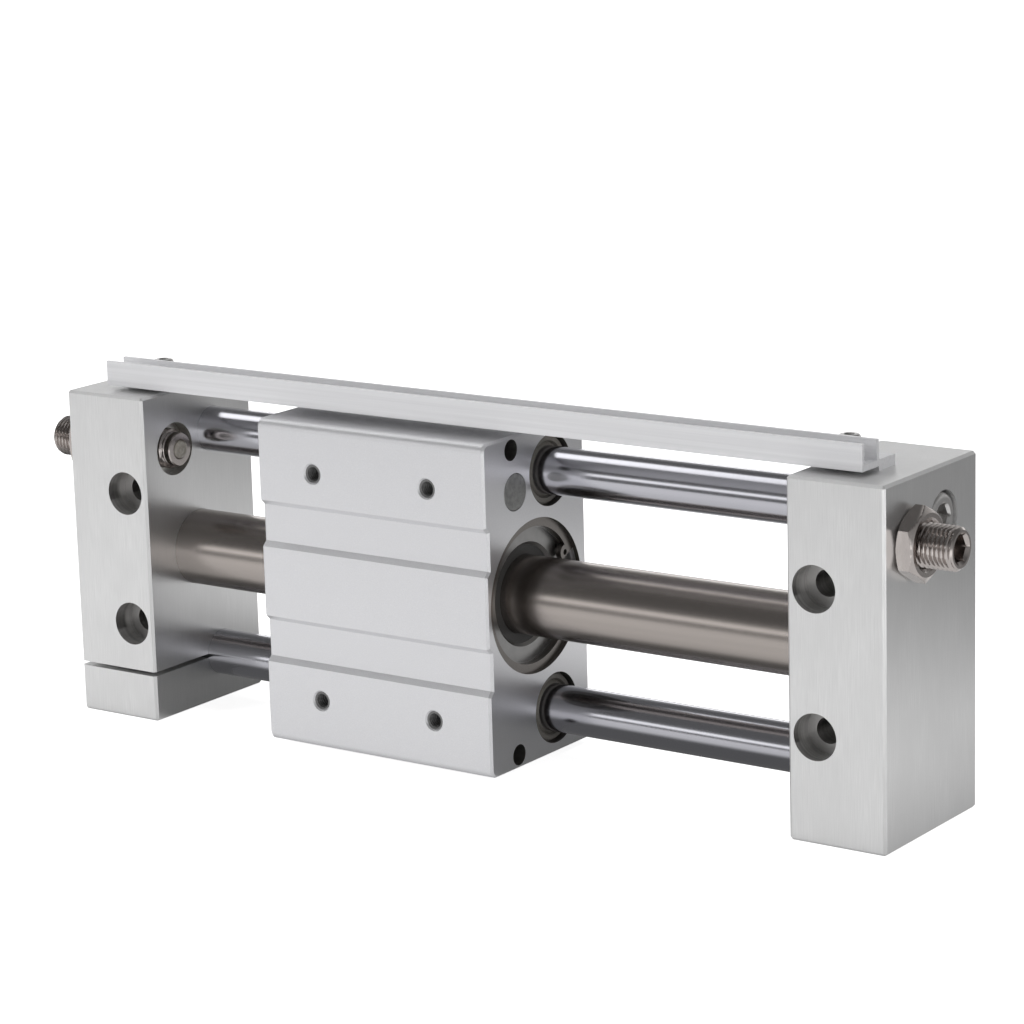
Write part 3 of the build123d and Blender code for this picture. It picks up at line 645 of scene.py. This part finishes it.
class CYLINDER_OT_adjusting_bolts(bpy.types.Operator):
    """Thread the two adjusting bolts, with a hexagon socket outside and a bored point"""

    bl_idname = "cylinder.adjusting_bolts"
    bl_label = "Adjusting bolts"

    def execute(self, context):
        for side, name in SIDES:
            node = f"{name}_adjusting_bolt"
            rows = self.profile(context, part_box(node), span(f"{name}_bumper"))
            shape = turned(rows, end_face(node, -side), along_x(side))
            piece(f"{node}_threaded", shape, f"{name}_bolt", "bolt_nickel", node)
        return {"FINISHED"}

    def profile(self, context, box, bumper):
        """Rows from the bumper's bore over the point and the thread into the socket."""
        threads, screws = context.scene.cylinder_threads, context.scene.cylinder_screws
        columns, lip, drill_cone = 96, 0.35 * MM, 0.9 * MM
        bumper_clearance, bumper_proud = 0.05 * MM, 0.7 * MM
        low, high = box
        length, outer = high[0] - low[0], (high[2] - low[2]) / 2
        bore, bore_depth = bumper.z / 2 + bumper_clearance, bumper.x - bumper_proud
        point, chamfer = screws.bolt_point, screws.bolt_chamfer
        neck = outer - chamfer
        thread = thread_rows(point, length - 0.2 * chamfer, outer, threads.bolt_pitch, columns,
                             threads.rows_per_turn)
        from_end = np.minimum(thread[..., 0] - point, length - thread[..., 0])
        thread[..., 1] = np.minimum(thread[..., 1], neck + from_end)
        tip = flat_rows([(bore_depth, bore * 0.5), (bore_depth, bore), (lip, bore), (0, bore + lip),
                         (0, neck - lip), (lip, neck), (point - HAIRLINE, neck)], columns)
        socket = screws.bolt_socket
        mouth, floor = socket / 2 * HEXAGON_CORNER + screws.bolt_mouth, length - screws.bolt_socket_depth
        head = flat_rows([(length, neck), (length, mouth)], columns)
        walls = hexagon_walls(socket, columns, length - mouth + socket / 2, floor)
        cone = flat_rows([(floor - drill_cone, socket * 0.1)], columns)
        return np.concatenate([tip, thread, head, walls, cone])


class CYLINDER_OT_bumpers(bpy.types.Operator):
    """Cast the two soft bumpers, each with a shallow ring pressed in its face"""

    bl_idname = "cylinder.bumpers"
    bl_label = "Bumpers"

    def execute(self, context):
        screws, columns = context.scene.cylinder_screws, 64
        edge, dome = screws.bumper_edge, screws.bumper_dome
        innermost, ring_place, ring_width = 0.15 * MM, 0.55, 0.3 * MM
        for side, name in SIDES:
            node = f"{name}_bumper"
            low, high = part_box(node)
            length, outer = high[0] - low[0], (high[2] - low[2]) / 2
            radii = np.linspace(innermost, outer - edge, 12)
            ring = screws.bumper_ring * np.exp(-((radii - outer * ring_place) / ring_width) ** 2)
            face = [(dome * (radius / outer) ** 2 + dip, radius) for radius, dip in zip(radii, ring)]
            corner = [(dome + edge * (1 - cos(turn)), outer - edge + edge * sin(turn))
                      for turn in np.linspace(0, pi / 2, 6)[1:]]
            back = [(length, outer), (length, outer * 0.3)]
            shape = turned(flat_rows(face + corner + back, columns), end_face(node, -side), along_x(side))
            piece(f"{node}_cast", shape, f"{name}_stop", "bumper_urethane", node, smooth=50)
        return {"FINISHED"}


class CYLINDER_OT_lock_nuts(bpy.types.Operator):
    """Turn the cones and the countersunk mouths of the two lock nuts"""

    bl_idname = "cylinder.lock_nuts"
    bl_label = "Lock nuts"

    def execute(self, context):
        screws, columns = context.scene.cylinder_screws, 192
        cone_slope, cone_depth, cone_rows, thread_overlap = 1 / tan(radians(30)), 1.5 * MM, 9, 0.15 * MM
        low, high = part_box("lock_nuts")
        flats, thick = high[1] - low[1], high[0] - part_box("right_end_plate")[1][0]
        bore, mouth = span("right_adjusting_bolt").z / 2 - thread_overlap, screws.nut_mouth
        depths = np.concatenate([np.linspace(0, cone_depth, cone_rows),
                                 np.linspace(thick - cone_depth, thick, cone_rows)])[:, None]
        cone = flats / 2 - screws.nut_cone + cone_slope * np.minimum(depths, thick - depths)
        radius = np.minimum(hexagon_radius(flats, columns)[None, :], cone)
        outside = np.stack([np.broadcast_to(depths, radius.shape), radius], axis=-1)
        inside = flat_rows([(thick, bore + mouth), (thick - mouth, bore), (mouth, bore),
                            (0, bore + mouth)], columns)
        nuts = []
        for side, name in SIDES:
            place = middle("lock_nuts")
            place.x = end_face(f"{name}_end_plate", side).x
            rows = np.concatenate([outside, inside])
            nuts.append(turned(rows, place, along_x(side, (0, 0, 1)), closed=True))
        piece("lock_nuts_turned", joined(*nuts), "root", "bolt_nickel", "lock_nuts")
        return {"FINISHED"}


def socket_screw(place, directions, head, length, size):
    """Socket head screw whose head's top is at distance 0 and whose shank goes along the axis.

    The head's side is a circle less the knurl's depth times half of 1 - cos(ridges * angle), its top
    edge is a quarter circle, and its socket a hexagon."""
    screws = bpy.context.scene.cylinder_screws
    columns, thread_rows_per_turn = screws.knurl_ridges * 6, 4
    edge, height, drilled, tip = 0.12 * head, size.head_height, 1.15 * size.socket_depth, 0.35 * size.shank
    angle = np.linspace(0, 2 * pi, columns, endpoint=False)
    knurl = screws.knurl_depth * (1 - np.cos(screws.knurl_ridges * angle)) / 2
    mouth = size.socket / 2 * HEXAGON_CORNER * 1.05
    socket_floor = flat_rows([(drilled, size.socket * 0.1)], columns)
    walls = hexagon_walls(size.socket, columns, size.socket_depth, mouth - size.socket / 2)
    top = flat_rows([(0, mouth)] + [(edge * (1 - sin(turn)), head / 2 - edge + edge * cos(turn))
                                    for turn in np.linspace(pi / 2, 0, 5)], columns)
    sides = flat_rows([(edge * 1.4, head / 2), (height - edge * 0.4, head / 2)], columns)
    sides[..., 1] -= knurl
    under = flat_rows([(height, head / 2 - edge * 0.4), (height, size.shank / 2)], columns)
    thread = thread_rows(height + size.pitch, height + length, size.shank / 2, size.pitch, columns,
                         thread_rows_per_turn)
    end = flat_rows([(height + length, tip)], columns)
    rows = np.concatenate([socket_floor, walls, top, sides, under, thread, end])
    return turned(rows, place, directions)


class CYLINDER_OT_screws(bpy.types.Operator):
    """Make the socket head screws of the rail, the upper rod and the clamp"""

    bl_idname = "cylinder.screws"
    bl_label = "Screws"

    def execute(self, context):
        low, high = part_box("rail_screws")
        head, length = high[1] - low[1], high[2] - low[2] - M4.head_height
        tops = [Vector((x, (low[1] + high[1]) / 2, high[2]))
                for x in (low[0] + head / 2, high[0] - head / 2)]
        self.knurled("rail_screws", [socket_screw(top, DOWNWARD, head, length, M4) for top in tops])

        rod_thread = 16 * MM
        low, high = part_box("rod_screws")
        head = high[2] - low[2]
        length = high[0] - (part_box("upper_guide_rod")[1][0] - rod_thread) - M10.head_height
        rods = [socket_screw(end_face("rod_screws", side), along_x(-side), head, length, M10)
                for side, _ in SIDES]
        self.knurled("rod_screws", rods)

        low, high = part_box("clamp_screw")
        place = Vector(((low[0] + high[0]) / 2, (low[1] + high[1]) / 2, low[2]))
        length = high[2] - low[2] - M6.head_height
        self.knurled("clamp_screw", [socket_screw(place, UPRIGHT, high[0] - low[0], length, M6)])
        return {"FINISHED"}

    def knurled(self, node, screws):
        """One piece with all the screws of a node."""
        piece(f"{node}_knurled", joined(*screws), "root", "screw_steel", node)


class CYLINDER_OT_washers(bpy.types.Operator):
    """Press the flat washers and split the spring washers under the rail screws"""

    bl_idname = "cylinder.washers"
    bl_label = "Washers"

    def execute(self, context):
        low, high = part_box("rail_washers")
        columns, flat, spring, bore, edge = 64, 0.8 * MM, 1.0 * MM, 2.1 * MM, 0.15 * MM
        flat_outer, spring_outer = (high[1] - low[1]) / 2, 3.45 * MM
        profile = [(0, bore), (0, flat_outer - edge), (edge, flat_outer), (flat - edge, flat_outer),
                   (flat, flat_outer - edge), (flat, bore)]
        shapes = []
        for x in (low[0] + flat_outer, high[0] - flat_outer):
            place = Vector((x, (low[1] + high[1]) / 2, low[2]))
            shapes.append(turned(flat_rows(profile, columns), place, UPRIGHT, closed=True))
            shapes.append(self.spring_ring(place, flat, spring, bore, spring_outer))
        piece("rail_washers_pressed", joined(*shapes), "root", "screw_steel", "rail_washers")
        return {"FINISHED"}

    def spring_ring(self, place, base, thick, inner, outer):
        """Open ring of rectangular section: the section is carried round all but a small gap."""
        half_gap, steps, rise = radians(9), 60, 0.02 * MM
        corners = [(base + rise, inner), (base + rise, outer), (base + thick - rise, outer),
                   (base + thick - rise, inner)]
        points = np.array([[(place.x + radius * cos(turn), place.y + radius * sin(turn), place.z + height)
                            for height, radius in corners]
                           for turn in np.linspace(half_gap, 2 * pi - half_gap, steps)]).reshape(-1, 3)
        faces = [[4 * n + c, 4 * n + (c + 1) % 4, 4 * n + 4 + (c + 1) % 4, 4 * n + 4 + c]
                 for n in range(steps - 1) for c in range(4)]
        faces += [[3, 2, 1, 0], [4 * (steps - 1) + c for c in range(4)]]
        return outward(points, faces)


def tapped_liner(place, directions, radius, start, end, pitch, per_turn):
    """Threaded wall of a tapped hole, as a thin sleeve whose outer side lies inside the metal."""
    columns, skin = 72, 0.04 * MM
    inside = thread_rows(start, end, radius - HAIRLINE, pitch, columns, per_turn, way=-1)
    outside = flat_rows([(end, radius + skin), (start, radius + skin)], columns)
    return turned(np.concatenate([inside, outside]), place, directions, closed=True)


class CYLINDER_OT_tapped_holes(bpy.types.Operator):
    """Cut the threads of the table holes and of the air ports"""

    bl_idname = "cylinder.tapped_holes"
    bl_label = "Tapped holes"

    def execute(self, context):
        threads = context.scene.cylinder_threads
        first_thread, last_thread, port_mouth = 0.6 * MM, 11.5 * MM, 0.3 * MM
        table = mounts["table_holes"]
        (half_x, half_z), centre = half_pattern(table), table_centre()
        holes = [tapped_liner(centre + Vector((x, 0, z)), INWARD, table["dims"]["hole_r_mm"] * MM,
                              first_thread, last_thread, threads.table_pitch, threads.rows_per_turn)
                 for x in (-half_x, half_x) for z in (-half_z, half_z)]
        piece("table_threads", joined(*holes), "carriage", "carriage_aluminium")
        for name, slot in (("left_air_port", "plate_aluminium"), ("rod_air_port", "rod_chrome")):
            port = mounts[name]
            length, radius = port["dims"]["length_mm"] * MM, port["dims"]["r_mm"] * MM
            place = Vector(port["pos_m"]) + Vector(port["axis"]) * length / 2
            shape = tapped_liner(place, along_x(1), radius, port_mouth, length - port_mouth,
                                 threads.port_pitch, threads.rows_per_turn)
            piece(f"{name}_thread", shape, "root", slot)
        return {"FINISHED"}


class CYLINDER_OT_rod_scrapers(bpy.types.Operator):
    """Mould the scrapers in the guide bores, each with a groove and a lip that leans on its rod"""

    bl_idname = "cylinder.rod_scrapers"
    bl_label = "Rod scrapers"

    def execute(self, context):
        low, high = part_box("rod_scrapers")
        thick, outer, rod_gap, bore_gap = 3 * MM, 12 * MM, 0.06 * MM, 0.03 * MM
        lip, shoulder, seat = span("upper_guide_rod").z / 2 + rod_gap, outer - 0.8 * MM, outer - bore_gap
        columns, back = 96, lip + 0.1 * MM
        profile = [(0, lip), (0.1 * MM, lip + 0.25 * MM), (0.8 * MM, lip + 0.7 * MM),
                   (1.1 * MM, lip + 1.0 * MM), (0.8 * MM, lip + 1.3 * MM), (0.15 * MM, lip + 1.45 * MM),
                   (0, lip + 1.6 * MM), (0, shoulder - 0.2 * MM), (0.2 * MM, shoulder),
                   (thick / 2, shoulder), (thick / 2, seat), (thick, seat), (thick, back),
                   (1.2 * MM, back)]
        shapes = []
        for x, way in ((low[0], 1), (high[0], -1)):
            for rod in ("upper_guide_rod", "lower_guide_rod"):
                place = middle(rod)
                place.x = x
                shapes.append(turned(flat_rows(profile, columns), place, along_x(way), closed=True))
        piece("rod_scrapers_moulded", joined(*shapes), "carriage", "seal_rubber", "rod_scrapers",
              smooth=40, finish="scraper_rubber")
        return {"FINISHED"}


def world_light(studio):
    """The studio: even light for matt surfaces, plain white for the camera, and for the metal a dim
    room with a low strip of light on the left and a high soft window on the left behind.

    The numbers are limits on the parts of the direction's unit vector, with the softness last."""
    world = bpy.data.worlds.new("studio")
    bpy.context.scene.world = world
    tree = Tree(world)
    tree.nodes.clear()
    path, direction = tree.new("LightPath").outputs, tree.new("SeparateXYZ")
    tree.links.new(tree.new("TexCoord").outputs["Generated"], direction.inputs[0])
    x, y, z = direction.outputs
    strip = tree.product(tree.window(z, 0.14, 0.25, 0.05), studio.strip)
    window = tree.product(tree.window(z, 0.70, 0.85, 0.06), tree.window(y, -0.10, 0.20, 0.10),
                          studio.window)
    lights = tree.product(tree.math("ADD", strip, window), tree.ramp(x, 0.3, -0.3))
    low = tree.ramp(z, 0.60, 0.20)
    behind = tree.product(low, tree.ramp(y, 0.45, 0.75), studio.back_wall)
    beside = tree.product(low, tree.ramp(x, 0.1, 0.5), studio.right_wall)
    walls = tree.math("ADD", tree.math("MAXIMUM", behind, beside), studio.ceiling)
    matt = tree.choose(path["Is Diffuse Ray"], tree.math("ADD", lights, walls), studio.ambient)
    background = tree.new("Background")
    tree.links.new(tree.choose(path["Is Camera Ray"], matt, 1.0), background.inputs["Strength"])
    tree.links.new(background.outputs[0], tree.new("OutputWorld").inputs[0])


def soft_box(name, place, aim, size, power):
    """Square lamp at a place, turned towards a point, which no mirror shows."""
    lamp = bpy.data.lights.new(name, "AREA")
    lamp.shape, lamp.size, lamp.energy = "SQUARE", size, power
    made = bpy.data.objects.new(name, lamp)
    made.location = place
    made.rotation_mode = "QUATERNION"
    made.rotation_quaternion = (Vector(aim) - Vector(place)).to_track_quat("-Z", "Y")
    made.visible_glossy = False
    bpy.context.scene.collection.objects.link(made)


def mirrored_floor(tree, studio):
    """How bright the metal shows the floor: the brightest of its zones, each a sum over X and Y.

    In front it is bright, on the right and behind it fades with the distance, and only the broken
    edges show the patch at the right front. The numbers are places on the floor, in metres."""
    place = tree.new("SeparateXYZ")
    tree.links.new(tree.new("TexCoord").outputs["Object"], place.inputs[0])
    x, y, _ = place.outputs
    gained = tree.product(tree.ramp(x, 0.0, -0.35), studio.floor_left)
    # The front floor is only 0.85 as bright next to the object: a little painted shadow.
    before = tree.product(tree.window(y, -0.62, -0.035, 0.02), tree.fade(y, -0.03, -0.16, 0.85),
                          tree.math("ADD", gained, studio.floor_mirror))
    beside = tree.product(tree.ramp(x, 0.08, 0.22), tree.fade(y, 0.30, 0.06, 0.3), studio.floor_right)
    behind = tree.product(tree.ramp(y, 0.05, 0.12), tree.ramp(x, 0.30, 0.18), tree.fade(y, 0.40, 0.20, 0.3),
                          studio.floor_back)
    corner = tree.product(tree.ramp(x, 0.20, 0.30), tree.ramp(y, -0.06, -0.12), studio.edge_light)
    # Painted shadow: near the object, where no zone reaches, the floor in the metal stays at this dim level
    # in place of the object's shadow.
    brightest = studio.painted_floor_shadow
    for zone in (before, beside, behind, corner):
        brightest = tree.math("MAXIMUM", zone, brightest)
    return brightest


def pale_floor(studio):
    """White floor. Part of its white for the camera is its own, so that the object's shadow stays faint."""
    half, grey = 6.0, 0.6
    mesh = bpy.data.meshes.new("floor")
    corners = [(-half, -half, 0), (half, -half, 0), (half, half, 0), (-half, half, 0)]
    mesh.from_pydata(corners, [], [[0, 1, 2, 3]])
    floor = bpy.data.objects.new("floor", mesh)
    bpy.context.scene.collection.objects.link(floor)
    material = bpy.data.materials.new("floor")
    tree = Tree(material)
    tree.nodes.clear()
    path = tree.new("LightPath").outputs
    glow, mirror, diffuse = tree.new("Emission"), tree.new("Emission"), tree.new("BsdfDiffuse")
    diffuse.inputs["Color"].default_value = (grey, grey, grey, 1)
    tree.links.new(tree.product(path["Is Camera Ray"], studio.floor_glow), glow.inputs["Strength"])
    tree.links.new(mirrored_floor(tree, studio), mirror.inputs["Strength"])
    matt, either = tree.new("AddShader"), tree.new("MixShader")
    for source, socket in ((diffuse.outputs[0], matt.inputs[0]), (glow.outputs[0], matt.inputs[1]),
                           (path["Is Glossy Ray"], either.inputs[0]), (matt.outputs[0], either.inputs[1]),
                           (mirror.outputs[0], either.inputs[2]),
                           (either.outputs[0], tree.new("OutputMaterial").inputs[0])):
        tree.links.new(source, socket)
    mesh.materials.append(material)


class CYLINDER_OT_stage(bpy.types.Operator):
    """Set up the floor, the light and the camera"""

    bl_idname = "cylinder.stage"
    bl_label = "Stage"

    def execute(self, context):
        studio = context.scene.cylinder_studio
        context.scene.view_settings.view_transform = "Standard"
        pale_floor(studio)
        world_light(studio)
        aim = middle("cylinder_tube")
        soft_box("key", (-1.2, -1.3, 0.8), aim, 1.0, studio.key)
        soft_box("overhead", (0.0, 0.2, 1.8), aim, 1.2, studio.overhead)
        soft_box("fill", (1.8, -0.5, 0.6), aim, 1.0, studio.fill)
        self.camera(context, studio)
        return {"FINISHED"}

    def camera(self, context, studio):
        """Camera at the photograph's place: back, right and up are its axes, turned by the roll."""
        lens = bpy.data.cameras.new("camera")
        lens.lens, lens.sensor_width = studio.focal_length, 36
        lens.clip_start, lens.clip_end = 0.01, 50
        made = bpy.data.objects.new("camera", lens)
        context.scene.collection.objects.link(made)
        context.scene.camera = made
        azimuth, elevation = studio.azimuth, studio.elevation
        back = Vector((sin(azimuth) * cos(elevation), -cos(azimuth) * cos(elevation), sin(elevation)))
        right = Vector((cos(azimuth), sin(azimuth), 0))
        axes = Matrix((right, back.cross(right), back)).transposed()
        turned_axes = axes @ Matrix.Rotation(studio.roll, 3, "Z")
        made.matrix_world = Matrix.Translation(studio.camera_place) @ turned_axes.to_4x4()


class CYLINDER_PT_panel(bpy.types.Panel):
    """Sidebar panel with a button for each group of pieces, and their sizes"""

    bl_idname = "CYLINDER_PT_panel"
    bl_label = "Rodless cylinder"
    bl_space_type = "VIEW_3D"
    bl_region_type = "UI"
    bl_category = "Rodless cylinder"

    def draw(self, context):
        for operator in OPERATORS:
            self.layout.operator(operator.bl_idname)
        for name, group in GROUPS.items():
            box = self.layout.box()
            box.label(text=group.__name__)
            for field in group.__annotations__:
                box.prop(getattr(context.scene, name), field)


GROUPS = {
    "cylinder_threads": ThreadSizes,
    "cylinder_screws": ScrewSizes,
    "cylinder_studio": StudioSizes,
    "cylinder_colours": FinishColours,
}
OPERATORS = (
    CYLINDER_OT_finishes,
    CYLINDER_OT_adjusting_bolts,
    CYLINDER_OT_bumpers,
    CYLINDER_OT_lock_nuts,
    CYLINDER_OT_screws,
    CYLINDER_OT_washers,
    CYLINDER_OT_tapped_holes,
    CYLINDER_OT_rod_scrapers,
    CYLINDER_OT_stage,
)


def register():
    for name, group in GROUPS.items():
        bpy.utils.register_class(group)
        setattr(bpy.types.Scene, name, PointerProperty(type=group))
    for made in (*OPERATORS, CYLINDER_PT_panel):
        bpy.utils.register_class(made)


def unregister():
    for made in reversed((*OPERATORS, CYLINDER_PT_panel)):
        bpy.utils.unregister_class(made)
    for name, group in GROUPS.items():
        delattr(bpy.types.Scene, name)
        bpy.utils.unregister_class(group)


def main():
    register()
    for operator in OPERATORS:
        group, name = operator.bl_idname.split(".")
        getattr(getattr(bpy.ops, group), name)()


if __name__ == "__main__":
    main()
